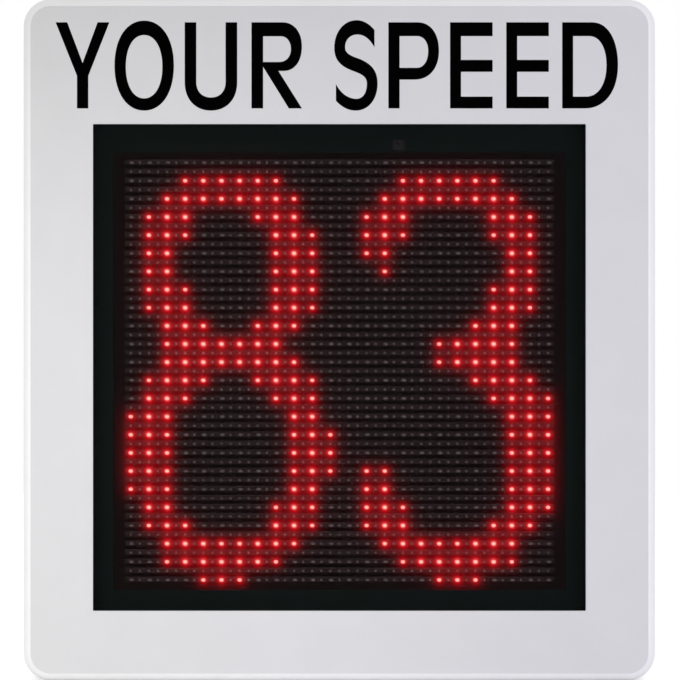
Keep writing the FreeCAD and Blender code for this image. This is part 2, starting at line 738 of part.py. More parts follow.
# Radar unit on a plate that hangs from the back of the sealing frame
flange_edge = sign_height - tray_inset - flange_width
radar_top = flange_edge - radar_flange_gap
radar_middle = radar_top - radar_height / 2
radar_front = flange_back - radar_depth
radar = plate(radar_width, radar_height, radar_corner, radar_front + radar_nose, flange_back, radar_middle)
nose = plate(radar_width - 2 * radar_nose_inset, radar_height - 2 * radar_nose_inset, radar_corner,
             radar_front, radar_front + radar_nose, radar_middle)
nodes["radar_housing"] = radar
nodes["radar_window"] = round_rim(nose, radar_front, radar_nose / 2)
bracket_low = radar_top - radar_height
bracket_high = flange_edge + bracket_grip
nodes["radar_bracket"] = block(-bracket_width / 2, bracket_width / 2, flange_back, flange_back + bracket_sheet,
                               bracket_low, bracket_high)

# Rails: folded hats across the back, with clearance holes for the pole brackets
rail_heights = {"lower": sign_middle - rail_spacing / 2, "upper": sign_middle + rail_spacing / 2}
rail_bolts = []
rail_nuts = []
foot_half = rail_crown / 2 + rail_foot
bolt_offset = (rail_crown + rail_foot) / 2
bolt_hole = rail_bolt_radius + screw_clearance
for name, z in rail_heights.items():
    crown = rail_crown / 2
    inner = crown - rail_sheet
    foot_face = case_depth + rail_sheet
    crown_inside = rail_back - rail_sheet
    hat = [(case_depth, z - foot_half), (foot_face, z - foot_half), (foot_face, z - crown), (rail_back, z - crown),
           (rail_back, z + crown), (foot_face, z + crown), (foot_face, z + foot_half), (case_depth, z + foot_half),
           (case_depth, z + inner), (crown_inside, z + inner), (crown_inside, z - inner), (case_depth, z - inner)]
    rail = across(hat, -rail_length / 2, rail_length / 2)
    for depth, reach, radius in ((rail_back, crown, rail_bend), (crown_inside, inner, rail_bend - rail_sheet)):
        bends = []
        for edge in rail.Edges:
            at = edge.BoundBox.Center
            folded = abs(at.y - y_at(depth)) < 0.001 and abs(abs(at.z - z) - reach) < 0.001
            if folded and edge.BoundBox.XLength > rail_length / 2:
                bends.append(edge)
        rail = rail.makeFillet(radius, bends)
    for x in (-rail_hole_spacing / 2, rail_hole_spacing / 2):
        rail = rail.cut(rod_y(rail_hole_radius, x, z, crown_inside - past, rail_back + past))
    for x in (-rail_bolt_spacing / 2, rail_bolt_spacing / 2):
        for bolt_z in (z - bolt_offset, z + bolt_offset):
            rail = rail.cut(rod_y(bolt_hole, x, bolt_z, case_depth - past, foot_face + past))
            tray = tray.cut(rod_y(bolt_hole, x, bolt_z, tray_floor - past, case_depth + past))
            shank = rod_y(rail_bolt_radius, x, bolt_z, tray_floor - rail_nut_height, foot_face)
            head = hex_y(rail_bolt_width, x, bolt_z, foot_face, foot_face + rail_bolt_height)
            rail_bolts.append(shank.fuse(head))
            nut = hex_y(rail_bolt_width, x, bolt_z, tray_floor - rail_nut_height, tray_floor)
            rail_nuts.append(nut.cut(rod_y(bolt_hole, x, bolt_z, tray_floor - 2 * rail_nut_height, case_depth)))
    nodes["mounting_rail_" + name] = rail
nodes["rail_bolts"] = Part.makeCompound(rail_bolts)
nodes["rail_nuts"] = Part.makeCompound(rail_nuts)

# Cable gland through the rear wall, with its nut inside
gland_front = tray_floor - gland_tail
gland_hex_back = case_depth + gland_hex
gland_back = gland_hex_back + gland_dome
gland = rod_y(gland_thread_radius, gland_offset, gland_rise, gland_front, case_depth)
dome = Part.makeCone(gland_dome_radius, gland_dome_radius - gland_taper, gland_dome,
                     Vector(gland_offset, y_at(gland_hex_back), gland_rise), Vector(0, 1, 0))
gland = merged(gland, [hex_y(gland_width, gland_offset, gland_rise, case_depth, gland_hex_back), dome])
gland_hole = gland_thread_radius + screw_clearance
nodes["cable_gland"] = gland.cut(rod_y(gland_bore_radius, gland_offset, gland_rise,
                                       gland_front - past, gland_back + past))
gland_nut = hex_y(gland_width, gland_offset, gland_rise, tray_floor - gland_nut_height, tray_floor)
nodes["gland_nut"] = gland_nut.cut(rod_y(gland_hole, gland_offset, gland_rise, gland_front, case_depth))
tray = tray.cut(rod_y(gland_hole, gland_offset, gland_rise, tray_floor - past, case_depth + past))

# Breather plug through the rear wall on the other side
vent = rod_y(vent_cap_radius, -gland_offset, gland_rise, case_depth, case_depth + vent_cap_height)
vent = round_rim(vent, case_depth + vent_cap_height, vent_cap_height / 3)
nodes["breather_vent"] = vent.fuse(rod_y(vent_stem_radius, -gland_offset, gland_rise,
                                         tray_floor - vent_stem, case_depth))
tray = tray.cut(rod_y(vent_stem_radius + screw_clearance, -gland_offset, gland_rise,
                      tray_floor - past, case_depth + past))
nodes["chassis_tray"] = tray

os.makedirs("parts", exist_ok=True)
for name, shape in nodes.items():
    shape.exportStep("parts/" + name + ".step")
    print(name, len(shape.Solids), "solids", round(shape.Volume / 1000, 1), "cm3", shape.isValid())
print("sign", round(sign_width, 1), "x", round(rail_back + film_thickness, 1), "x", round(sign_height, 1))
print("hinge axis x", round(hinge_x, 2), "y", round(y_at(hinge_depth), 2))
print("lock axis y", round(y_at(lock_depth), 2), "z", lock_heights)
print("rail holes y", round(y_at(rail_back), 2), "z", sorted(rail_heights.values()))
print("gland y", round(y_at(gland_front), 2), round(y_at(gland_back), 2))
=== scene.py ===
# %% [markdown]
# # Looks of a radar speed sign
# A speed sign hangs on a pole and shows drivers how fast they come. Its solids are made in CAD and come in
# here as a fixed frame. This lesson gives them their surfaces, adds the small things that CAD leaves out,
# and takes the picture.

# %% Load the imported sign
import math

import bmesh
import bpy
from mathutils import Matrix, Vector


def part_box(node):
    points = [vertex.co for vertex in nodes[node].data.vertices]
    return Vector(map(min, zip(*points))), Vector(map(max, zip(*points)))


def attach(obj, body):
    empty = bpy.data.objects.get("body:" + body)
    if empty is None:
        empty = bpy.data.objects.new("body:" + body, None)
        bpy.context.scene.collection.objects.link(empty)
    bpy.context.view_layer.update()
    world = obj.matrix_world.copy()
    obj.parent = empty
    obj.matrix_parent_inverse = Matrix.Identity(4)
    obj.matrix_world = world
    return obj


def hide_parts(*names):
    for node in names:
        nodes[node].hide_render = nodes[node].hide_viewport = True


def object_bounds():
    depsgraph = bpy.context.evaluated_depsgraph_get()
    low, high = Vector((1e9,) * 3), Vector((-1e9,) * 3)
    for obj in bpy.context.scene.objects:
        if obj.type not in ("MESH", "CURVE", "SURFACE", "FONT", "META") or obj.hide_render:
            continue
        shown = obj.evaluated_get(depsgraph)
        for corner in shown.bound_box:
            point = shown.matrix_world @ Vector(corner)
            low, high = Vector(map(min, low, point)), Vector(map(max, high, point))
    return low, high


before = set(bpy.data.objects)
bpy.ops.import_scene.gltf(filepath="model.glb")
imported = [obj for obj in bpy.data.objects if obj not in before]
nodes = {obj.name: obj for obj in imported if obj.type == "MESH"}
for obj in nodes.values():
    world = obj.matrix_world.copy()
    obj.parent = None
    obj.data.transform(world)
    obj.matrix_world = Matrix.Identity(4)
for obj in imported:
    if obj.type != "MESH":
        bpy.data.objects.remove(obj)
scene = bpy.context.scene
size_at_load = [list(corner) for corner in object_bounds()]
sign_low, sign_high = (Vector(corner) for corner in size_at_load)
print("nodes", len(nodes), "sign in mm", [round(1000 * side, 1) for side in sign_high - sign_low])

# %% [markdown]
# ## One way to make a surface
# Hardly any real surface has one flat colour. Mouldings, paint and metal all have cloudy tone, uneven gloss
# and a fine grain, so one function sets up these three from noise, and each finish below only names its own
# values. The noise is read in metres from the row frame, so the grain has a real size.

# %% Surface maker
def link(material, source, target):
    """Joins two sockets of a material."""
    material.node_tree.links.new(source, target)


def add_node(material, kind, **inputs):
    """Adds a shader node and sets its inputs by name."""
    node = material.node_tree.nodes.new(kind)
    for name, value in inputs.items():
        node.inputs[name.replace("_", " ")].default_value = value
    return node


def noise(material, scale, stretch=(1, 1, 1), detail=3.0):
    """Noise with a given number of features in a metre, from 0 to 1."""
    place = add_node(material, "ShaderNodeTexCoord")
    mapping = add_node(material, "ShaderNodeMapping", Scale=stretch)
    texture = add_node(material, "ShaderNodeTexNoise", Scale=scale, Detail=detail)
    link(material, place.outputs["Object"], mapping.inputs["Vector"])
    link(material, mapping.outputs["Vector"], texture.inputs["Vector"])
    return texture.outputs["Fac"]


def spread(material, value, low, high, start=0.3, end=0.7):
    """Maps a value between two bounds onto a range."""
    node = add_node(material, "ShaderNodeMapRange", From_Min=start, From_Max=end, To_Min=low, To_Max=high)
    link(material, value, node.inputs["Value"])
    return node.outputs["Result"]


def blend(material, factor, first, second):
    """Mixes two colours, each given as numbers or as a socket."""
    node = material.node_tree.nodes.new("ShaderNodeMix")
    node.data_type = "RGBA"
    link(material, factor, node.inputs["Factor"])
    for socket, colour in ((node.inputs[6], first), (node.inputs[7], second)):
        if isinstance(colour, bpy.types.NodeSocket):
            link(material, colour, socket)
        else:
            socket.default_value = (*colour, 1)
    return node.outputs[2]


def surface(name, colour, rough, grain, metal=0.0, specular=0.5, tone=0.05, uneven=0.05, relief=0.00002,
            stretch=(1, 1, 1)):
    """Material with cloudy tone, uneven gloss and a fine grain."""
    material = bpy.data.materials.new(name)
    material.use_nodes = True
    shader = material.node_tree.nodes["Principled BSDF"]
    shader.inputs["Metallic"].default_value = metal
    shader.inputs["Specular IOR Level"].default_value = specular
    darker = [channel * (1 - tone) for channel in colour]
    lighter = [min(1, channel * (1 + tone)) for channel in colour]
    cloud = spread(material, noise(material, grain / 40, stretch), 0, 1)
    link(material, blend(material, cloud, darker, lighter), shader.inputs["Base Color"])
    fine = noise(material, grain, stretch)
    link(material, spread(material, fine, rough - uneven, rough + uneven), shader.inputs["Roughness"])
    bump = add_node(material, "ShaderNodeBump", Strength=1.0, Distance=relief)
    link(material, fine, bump.inputs["Height"])
    link(material, bump.outputs["Normal"], shader.inputs["Normal"])
    return material


def dress(material, *names):
    """Gives CAD nodes their material."""
    for name in names:
        nodes[name].data.materials.clear()
        nodes[name].data.materials.append(material)


print("surface maker ready")

# %% [markdown]
# ## Cover and sheeting
# The cover is a satin white moulding. Its flat face carries sheeting that sends light back to the driver, a
# little greyer than the moulding, with fine cells under a smooth skin. The cells are small, so they are a
# faint pattern in tone and gloss and not geometry.

# %% Cover and sheeting
cover_white = surface("cover_white", (0.86, 0.86, 0.856), 0.42, 1400, tone=0.012, relief=0.00001)
dress(cover_white, "front_cover")

sheeting = surface("sheeting", (0.70, 0.70, 0.702), 0.38, 900, specular=0.3, tone=0.012, relief=0.000005)
cells = add_node(sheeting, "ShaderNodeTexVoronoi", Scale=260.0)
cells.feature = "DISTANCE_TO_EDGE"
place = add_node(sheeting, "ShaderNodeTexCoord")
link(sheeting, place.outputs["Object"], cells.inputs["Vector"])
skin = sheeting.node_tree.nodes["Principled BSDF"]
cloudy = skin.inputs["Base Color"].links[0].from_socket
wall = spread(sheeting, cells.outputs["Distance"], 0.12, 0.0, 0.0, 0.08)
link(sheeting, blend(sheeting, wall, cloudy, (0.64, 0.64, 0.645)), skin.inputs["Base Color"])
dress(sheeting, "face_sheeting")
film_low, film_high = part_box("face_sheeting")
print("sheeting in mm", [round(1000 * side, 1) for side in film_high - film_low])

# %% [markdown]
# ## Legend
# The legend tells the driver what the number means. On the sign it is cut from thin black film and stuck on
# the sheeting. Each letter is drawn here with plain strokes in units of about a millimetre: a point with
# two numbers ends a straight line, and one with six numbers ends a curve and gives its two handles first.
# The cap is the height of a letter.

# %% Letter outlines
letter_unit = 0.0010973
cap = 86.1
legend_base = 0.6281
bow = 0.6


def arc(start, end, first_along_x):
    """Quarter bow between two points, as the six numbers of a curve."""
    if first_along_x:
        handles = (start[0] + bow * (end[0] - start[0]), start[1], end[0], end[1] - bow * (end[1] - start[1]))
    else:
        handles = (start[0], start[1] + bow * (end[1] - start[1]), end[0] - bow * (end[0] - start[0]), end[1])
    return handles + end


def oval(middle, half_width, half_height):
    """Closed oval from four bows."""
    x, y = middle
    top, right = (x, y + half_height), (x + half_width, y)
    bottom, left = (x, y - half_height), (x - half_width, y)
    return [top, arc(top, right, True), arc(right, bottom, False), arc(bottom, left, True),
            arc(left, top, False)]


outlines = {
    "Y": [[(0, cap), (11.6, cap), (27.0, 45.4), (42.0, cap), (53.8, cap), (32.7, 32.6), (32.7, 0), (21.4, 0),
           (21.4, 32.6)]],
    "O": [oval((29.7, 42.8), 29.7, 45.0), oval((29.6, 41.7), 18.3, 31.7)],
    "U": [[(0, cap), (0, 26.1), arc((0, 26.1), (26.2, -2.2), False), arc((26.2, -2.2), (52.5, 26.1), True),
           (52.5, cap), (40.9, cap), (40.9, 26.1), arc((40.9, 26.1), (26.2, 10.9), False),
           arc((26.2, 10.9), (11.6, 26.1), True), (11.6, cap)]],
    "R": [[(0, 0), (0, cap), (31.0, cap), arc((31.0, cap), (50.4, 61.8), True),
           arc((50.4, 61.8), (32.5, 37.5), False), (26.9, 37.5), (50.5, 0), (37.3, 0), (11.6, 41.6),
           (11.6, 0)],
          [(11.6, 72.1), (29.4, 72.1), arc((29.4, 72.1), (39.4, 59.2), True),
           arc((39.4, 59.2), (27.5, 46.4), False), (11.6, 46.4)]],
    "S": [[(40.6, 78.4), (35.5, 84.6, 29.5, 88.2, 22.8, 88.2), (9.5, 88.2, 0.4, 76.0, 0.4, 60.6),
           (0.4, 47.0, 8.0, 41.5, 19.8, 37.2), (29.0, 34.0, 33.0, 31.0, 33.0, 24.5),
           (33.0, 15.5, 29.0, 9.6, 22.4, 9.6), (14.0, 9.6, 6.5, 15.5, 2.0, 24.5), (2.0, 7.6),
           (8.0, 1.2, 14.5, -2.2, 21.8, -2.2), (35.0, -2.2, 43.7, 9.5, 43.7, 24.9),
           (43.7, 38.5, 36.5, 45.3, 24.9, 49.8), (15.5, 53.0, 11.2, 55.5, 11.2, 61.3),
           (11.2, 68.8, 16.5, 73.9, 23.4, 73.9), (30.0, 73.9, 35.5, 70.0, 40.6, 61.1)]],
    "P": [[(0, 0), (0, cap), (29.6, cap), arc((29.6, cap), (50.6, 57.6), True),
           arc((50.6, 57.6), (26.5, 28.8), False), (11.2, 28.8), (11.2, 0)],
          [(11.2, 72.3), (28.5, 72.3), arc((28.5, 72.3), (39.8, 57.5), True),
           arc((39.8, 57.5), (28.5, 40.6), False), (11.2, 40.6)]],
    "E": [[(0, 0), (0, cap), (42.5, cap), (42.5, 72.3), (10.9, 72.3), (10.9, 48.5), (42.5, 48.5),
           (42.5, 36.6), (10.9, 36.6), (10.9, 11.8), (42.5, 11.8), (42.5, 0)]],
    "D": [[(0, 0), (0, cap), (30.2, cap), arc((30.2, cap), (55.8, 43.3), True),
           arc((55.8, 43.3), (23.0, 0), False)],
          [(10.9, 72.3), (27.2, 72.3), arc((27.2, 72.3), (44.3, 43.3), True),
           arc((44.3, 43.3), (24.0, 11.8), False), (10.9, 11.8)]],
}
legend = [("Y", -283.8), ("O", -224.9), ("U", -154.7), ("R", -87.9), ("S", -5.5), ("P", 49.0), ("E", 110.7),
          ("E", 166.9), ("D", 222.8)]
print("letters", "".join(letter for letter, left in legend), "in mm", round(1000 * cap * letter_unit, 1))

# %% [markdown]
# A flat curve object fills such outlines and leaves the counters open by itself, which saves cutting them
# out. It is turned upright, given the thickness of film and laid on the sheeting's front.

# %% Legend film
film_thickness = 0.00012
curve_steps = 14


def trace(outline):
    """Points along one outline, with its curves divided into short runs."""
    points = []
    for entry in outline:
        if len(entry) == 2:
            points.append(Vector(entry))
            continue
        start = points[-1]
        first, second, end = Vector(entry[0:2]), Vector(entry[2:4]), Vector(entry[4:6])
        for step in range(1, curve_steps + 1):
            t = step / curve_steps
            points.append((1 - t) ** 3 * start + 3 * t * (1 - t) ** 2 * first + 3 * t * t * (1 - t) * second
                          + t ** 3 * end)
    if (points[0] - points[-1]).length < 0.001:
        points.pop()
    return points


def place_piece(name, mesh, material, body, smooth_angle=None):
    """Puts a finished mesh in the scene as a piece that rides on a body."""
    piece = bpy.data.objects.new(name, mesh)
    scene.collection.objects.link(piece)
    mesh.materials.clear()
    mesh.materials.append(material)
    if smooth_angle is not None:
        mesh.shade_smooth()
        mesh.set_sharp_from_angle(angle=math.radians(smooth_angle))
    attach(piece, body)
    return piece


flat = bpy.data.curves.new("legend_outline", "CURVE")
flat.dimensions = "2D"
flat.fill_mode = "BOTH"
flat.extrude = film_thickness / 2
for letter, left in legend:
    for outline in outlines[letter]:
        points = trace(outline)
        spline = flat.splines.new("POLY")
        spline.points.add(len(points) - 1)
        for point, spot in zip(spline.points, points):
            point.co = ((left + spot.x) * letter_unit, legend_base + spot.y * letter_unit, 0, 1)
        spline.use_cyclic_u = True
flat_object = bpy.data.objects.new("legend_outline", flat)
scene.collection.objects.link(flat_object)
bpy.context.view_layer.update()
filled = flat_object.evaluated_get(bpy.context.evaluated_depsgraph_get())
legend_mesh = bpy.data.meshes.new_from_object(filled)
bpy.data.objects.remove(flat_object)
to_face = Matrix.Translation((0, film_low.y - film_thickness / 2, 0))
legend_mesh.transform(to_face @ Matrix.Rotation(math.radians(90), 4, "X"))
legend_black = surface("legend_black", (0.0006, 0.0006, 0.0006), 0.6, 1200, specular=0.004, tone=0.2)
place_piece("legend_film", legend_mesh, legend_black, "cover")
print("legend film", len(legend_mesh.polygons), "faces")

# %% [markdown]
# ## Window
# The pane is clear polycarbonate. Seen straight on it hardly shows, so it is nearly all alpha and only
# keeps its gloss. Rubber seals the pane to the cover, and a black frame clamps it.

# %% Window pane, gasket, seal and black sheet metal
pane = surface("clear_pane", (0.01, 0.012, 0.012), 0.06, 60, specular=0.5, uneven=0.03, relief=0.0)
pane.node_tree.nodes["Principled BSDF"].inputs["Alpha"].default_value = 0.03
dress(pane, "window_pane")

rubber = surface("rubber", (0.022, 0.022, 0.023), 0.82, 1600, specular=0.25, tone=0.15, relief=0.00006)
dress(rubber, "window_gasket", "cover_seal")

# The faint green in this black is a painted reflection on the frame and the surround.
black_sheet = surface("black_sheet", (0.003, 0.0058, 0.005), 0.6, 1500, specular=0.012, tone=0.12,
                      relief=0.00003)
dress(black_sheet, "pane_retainer", "display_surround")
print("window finishes", pane.name, rubber.name, black_sheet.name)

# %% [markdown]
# ## Lamp sites
# Lamps stand at an even pitch. Red ones are at every second site in every second row, and small ones fill
# the sites between. Which red lamps are lit is read back from the stubs in the CAD model.

# %% Lamp sites
lamp_pitch = 0.020
lamp_count = 24
site_pitch = lamp_pitch / 2
site_count = 2 * lamp_count - 1
half_span = lamp_pitch * (lamp_count - 1) / 2
mask_low, mask_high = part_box("louvre_mask")
matrix_middle = (mask_low.z + mask_high.z) / 2
bar_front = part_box("lit_lamps")[1].y


def site_place(column, row):
    """Sideways place and height of a lamp site."""
    return column * site_pitch - half_span, matrix_middle + half_span - row * site_pitch


lit_sites = set()
for vertex in nodes["lit_lamps"].data.vertices:
    column = round((vertex.co.x + half_span) / site_pitch)
    row = round((matrix_middle + half_span - vertex.co.z) / site_pitch)
    lit_sites.add((column, row))
every_site = [(column, row) for row in range(site_count) for column in range(site_count)]
red_sites = [site for site in every_site if site[0] % 2 == 0 and site[1] % 2 == 0]
dark_red_sites = [site for site in red_sites if site not in lit_sites]
small_sites = [site for site in every_site if site not in set(red_sites)]
print("lit", len(lit_sites), "unlit red", len(dark_red_sites), "small", len(small_sites))

# %% [markdown]
# Some lamps at the edge of a digit look weaker in the photo, so a lit lamp with few lit ones round it is
# dimmed a little. Each lit lamp throws a red glow on what is around it. Close to a lamp the glow is strong,
# and between lamps of one stroke their light also fills the space. The glow is worked out once for each
# point of a mesh and kept with the mesh, so it is free of grain and looks alike from all sides.

# %% Glow of the lit lamps
edge_levels = {2: 0.7, 3: 0.7, 4: 0.7, 5: 0.86}
lamp_levels = {}
for column, row in lit_sites:
    beside = [(column + 2 * right, row + 2 * down) for right in (-1, 0, 1) for down in (-1, 0, 1)]
    lit_beside = len([site for site in beside if site in lit_sites]) - 1
    lamp_levels[column, row] = edge_levels.get(lit_beside, 1.0)

near_reach = 0.0045
wide_reach = 0.012
wide_share = 0.15
site_window = 6
glow_limit = 1.5


def halo(x, z):
    """Red glow from the lit lamps at a point of the mask."""
    column = round((x + half_span) / site_pitch)
    row = round((matrix_middle + half_span - z) / site_pitch)
    near = 0.0
    wide = 0.0
    for near_column in range(column - site_window, column + site_window + 1):
        for near_row in range(row - site_window, row + site_window + 1):
            level = lamp_levels.get((near_column, near_row))
            if level:
                lamp_x, lamp_z = site_place(near_column, near_row)
                far = (x - lamp_x) ** 2 + (z - lamp_z) ** 2
                near += level * (1 + far / near_reach ** 2) ** -2
                wide += level * (1 + far / wide_reach ** 2) ** -2
    return near + wide_share * wide ** 2


def add_halo(mesh):
    """Keeps the glow of every vertex with the mesh."""
    attribute = mesh.attributes.new("halo", "FLOAT", "POINT")
    attribute.data.foreach_set("value", [halo(vertex.co.x, vertex.co.z) for vertex in mesh.vertices])


def shine(material):
    """Lets a material give off the glow that its mesh keeps, a little paler where it is strongest."""
    kept = add_node(material, "ShaderNodeAttribute")
    kept.attribute_name = "halo"
    pale = spread(material, kept.outputs["Fac"], 0, 1, 0.5, 1.4)
    hue = blend(material, pale, (1.0, 0.003, 0.012), (1.0, 0.32, 0.29))
    share = spread(material, kept.outputs["Fac"], 0, 1, 0, glow_limit)
    shader = material.node_tree.nodes["Principled BSDF"]
    link(material, blend(material, share, (0, 0, 0), hue), shader.inputs["Emission Color"])
    shader.inputs["Emission Strength"].default_value = glow_limit


levels = list(lamp_levels.values())
print("lamp levels", {level: levels.count(level) for level in sorted(set(levels))})

# %% [markdown]
# ## Louvre mask
# The mask keeps the sun off the lamps. Each row of lamps stands on a bar with a small visor over it, and
# all bars are moulded on one black plate. The mesh follows the solid, with one outline swept along each row
# in short steps so that the glow has points to sit on. The plate is painted darker than the bars, the tone
# following the depth in the shader: painted shade in the gaps between the bars.

# %% Louvre mask mesh
plate_front = bar_front + 0.0025
visor_front = mask_low.y
visor_low = 0.0021
bar_high = 0.0033
bar_low = -0.0022
gap_top = 0.006
louvre_half = half_span + 0.0065
steps_along = round(2 * louvre_half / (site_pitch / 4))
along = [-louvre_half + 2 * louvre_half * step / steps_along for step in range(steps_along + 1)]
row_outline = [(plate_front, gap_top), (plate_front, bar_high), (visor_front, bar_high),
               (visor_front, visor_low), (bar_front, visor_low), (bar_front, 0.0), (bar_front, bar_low),
               (plate_front, bar_low)]
outline = []
for row in range(site_count):
    row_z = site_place(0, row)[1]
    outline += [(y, row_z + rise) for y, rise in row_outline]
outline.append((plate_front, outline[-len(row_outline)][1] - site_pitch))

mask_build = bmesh.new()
grid = [[mask_build.verts.new((x, y, z)) for x in along] for y, z in outline]
for upper, lower in zip(grid, grid[1:]):
    for step in range(steps_along):
        mask_build.faces.new((upper[step], lower[step], lower[step + 1], upper[step + 1]))


def border(step, places):
    """Plate beside the bars at one end, with the bars' end faces. Gives its edges, outermost last."""
    heights = [outline[len(row_outline) * row][1] for row in range(site_count + 1)]
    edges = [[mask_build.verts.new((x, plate_front, z)) for z in heights] for x in places]
    for row in range(site_count):
        line = [grid[len(row_outline) * row + place][step] for place in range(len(row_outline) + 1)]
        mask_build.faces.new(line[1:-1])
        mask_build.faces.new((edges[0][row], edges[0][row + 1], line[-1], line[-2], line[1], line[0]))
        for inner, outer in zip(edges, edges[1:]):
            mask_build.faces.new((outer[row], outer[row + 1], inner[row + 1], inner[row]))
    return edges


def margin(line, heights):
    """Plate above or below the bars, in strips. Gives its lines, outermost last."""
    lines = []
    for z in heights:
        outer = [mask_build.verts.new((vertex.co.x, plate_front, z)) for vertex in line]
        for step in range(len(line) - 1):
            mask_build.faces.new((line[step], line[step + 1], outer[step + 1], outer[step]))
        lines.append(outer)
        line = outer
    return lines


border_steps = [0.003, 0.007, 0.013, mask_high.x - louvre_half]
left_edges = border(0, [-louvre_half - out for out in border_steps])
right_edges = border(steps_along, [louvre_half + out for out in border_steps])
top_line = [edge[0] for edge in left_edges[::-1]] + grid[0] + [edge[0] for edge in right_edges]
bottom_line = [edge[-1] for edge in left_edges[::-1]] + grid[-1] + [edge[-1] for edge in right_edges]
margin_steps = [0.004, 0.009]
above = margin(top_line, [outline[0][1] + out for out in margin_steps] + [mask_high.z])
below = margin(bottom_line, [outline[-1][1] - out for out in margin_steps] + [mask_low.z])
top_back, bottom_back = ([mask_build.verts.new((x, mask_high.y, z)) for x in (mask_low.x, mask_high.x)]
                         for z in (mask_high.z, mask_low.z))
mask_build.faces.new(above[-1] + top_back[::-1])
mask_build.faces.new(below[-1] + bottom_back[::-1])
for end, edge in ((0, left_edges[-1]), (-1, right_edges[-1])):
    side = [line[end] for line in above[::-1]] + edge + [line[end] for line in below]
    mask_build.faces.new(side + [bottom_back[end], top_back[end]])
mask_build.faces.new(top_back + bottom_back[::-1])
bmesh.ops.recalc_face_normals(mask_build, faces=mask_build.faces)
open_edges = len([edge for edge in mask_build.edges if len(edge.link_faces) != 2])
mask_mesh = bpy.data.meshes.new("louvre_bars")
mask_build.to_mesh(mask_mesh)
mask_build.free()
add_halo(mask_mesh)
print("mask", len(mask_mesh.polygons), "faces", open_edges, "open edges")

# %% Louvre mask finish
mask_black = surface("mask_black", (0.02, 0.02, 0.02), 0.62, 1300, specular=0.012, tone=0.15, relief=0.00003)
place = add_node(mask_black, "ShaderNodeTexCoord")
parts = add_node(mask_black, "ShaderNodeSeparateXYZ")
link(mask_black, place.outputs["Object"], parts.inputs["Vector"])
# Painted shade: the plate in the gaps between the bars is made darker than the bars.
depth = spread(mask_black, parts.outputs["Y"], 0, 1, bar_front + 0.0004, bar_front + 0.002)
mask_shader = mask_black.node_tree.nodes["Principled BSDF"]
bar_tone = blend(mask_black, spread(mask_black, noise(mask_black, 90), 0, 1), (0.0195, 0.0115, 0.0115),
                 (0.0275, 0.017, 0.017))
bar_tone_with_gap_shade = blend(mask_black, depth, bar_tone, (0.0045, 0.0018, 0.0018))
link(mask_black, bar_tone_with_gap_shade, mask_shader.inputs["Base Color"])
shine(mask_black)
louvre_bars = place_piece("louvre_bars", mask_mesh, mask_black, "chassis")
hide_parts("louvre_mask")
dress(mask_black, "louvre_mask")
print("bars stand at y", round(1000 * bar_front, 2), "mm")

# %% [markdown]
# ## Lamps
# Every lamp is a small clear lens. Red lamps are oval, and the smaller ones are round. The lit ones replace
# the plain stubs of the CAD model, and every other site gets an unlit lens.

# %% Lens meshes
def lens_mesh(name, sites, half_width, half_height, length, skirt, steps, rings, aside=0.0):
    """One mesh of many lenses: an oval skirt with a domed end, standing forward of the bars."""
    profile = [(0.0, 1.0), (skirt, 1.0)]
    for ring in range(1, rings):
        turn = math.radians(90) * ring / rings
        profile.append((skirt + (length - skirt) * math.sin(turn), math.cos(turn)))
    vertices = []
    faces = []
    glow = []
    for column, row in sites:
        x, z = site_place(column, row)
        x += aside
        level = lamp_levels.get((column, row), 1.0)
        first = len(vertices)
        for forward, scale in profile:
            for step in range(steps):
                turn = 2 * math.pi * step / steps
                vertices.append((x + half_width * scale * math.cos(turn), bar_front - forward,
                                 z + half_height * scale * math.sin(turn)))
                glow.append(level * (1 - scale))
        vertices.append((x, bar_front - length, z))
        glow.append(level)
        for ring in range(len(profile) - 1):
            for step in range(steps):
                a = first + ring * steps + step
                b = first + ring * steps + (step + 1) % steps
                faces.append((a, b, b + steps, a + steps))
        last = first + (len(profile) - 1) * steps
        for step in range(steps):
            faces.append((last + step, last + (step + 1) % steps, len(vertices) - 1))
    mesh = bpy.data.meshes.new(name)
    mesh.from_pydata(vertices, [], faces)
    attribute = mesh.attributes.new("glow", "FLOAT", "POINT")
    attribute.data.foreach_set("value", glow)
    return mesh


# %% [markdown]
# A lit lens is nearly white in the middle and red at its rim. Its own brightness stays low, so that the
# lens keeps its shape in the picture.

# %% Lit lamps
lamp_glow = surface("lit_lamp", (0.012, 0.001, 0.001), 0.4, 800, specular=0.05, tone=0.1, relief=0.0)
lamp_shader = lamp_glow.node_tree.nodes["Principled BSDF"]
middle = add_node(lamp_glow, "ShaderNodeAttribute")
middle.attribute_name = "glow"
core = spread(lamp_glow, middle.outputs["Fac"], 0, 1, 0.0, 0.7)
core_hue = blend(lamp_glow, core, (0.85, 0.17, 0.16), (1.0, 0.46, 0.37))
link(lamp_glow, core_hue, lamp_shader.inputs["Emission Color"])
lens_strength = 1.5
lamp_shader.inputs["Emission Strength"].default_value = lens_strength
lit_mesh = lens_mesh("lit_lamp_lenses", sorted(lit_sites), half_width=0.0025, half_height=0.0020,
                     length=0.0036, skirt=0.0012, steps=16, rings=4)
lit_lenses = place_piece("lit_lamp_lenses", lit_mesh, lamp_glow, "chassis", 40)
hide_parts("lit_lamps")
print("lit lenses", len(lit_mesh.polygons), "faces")
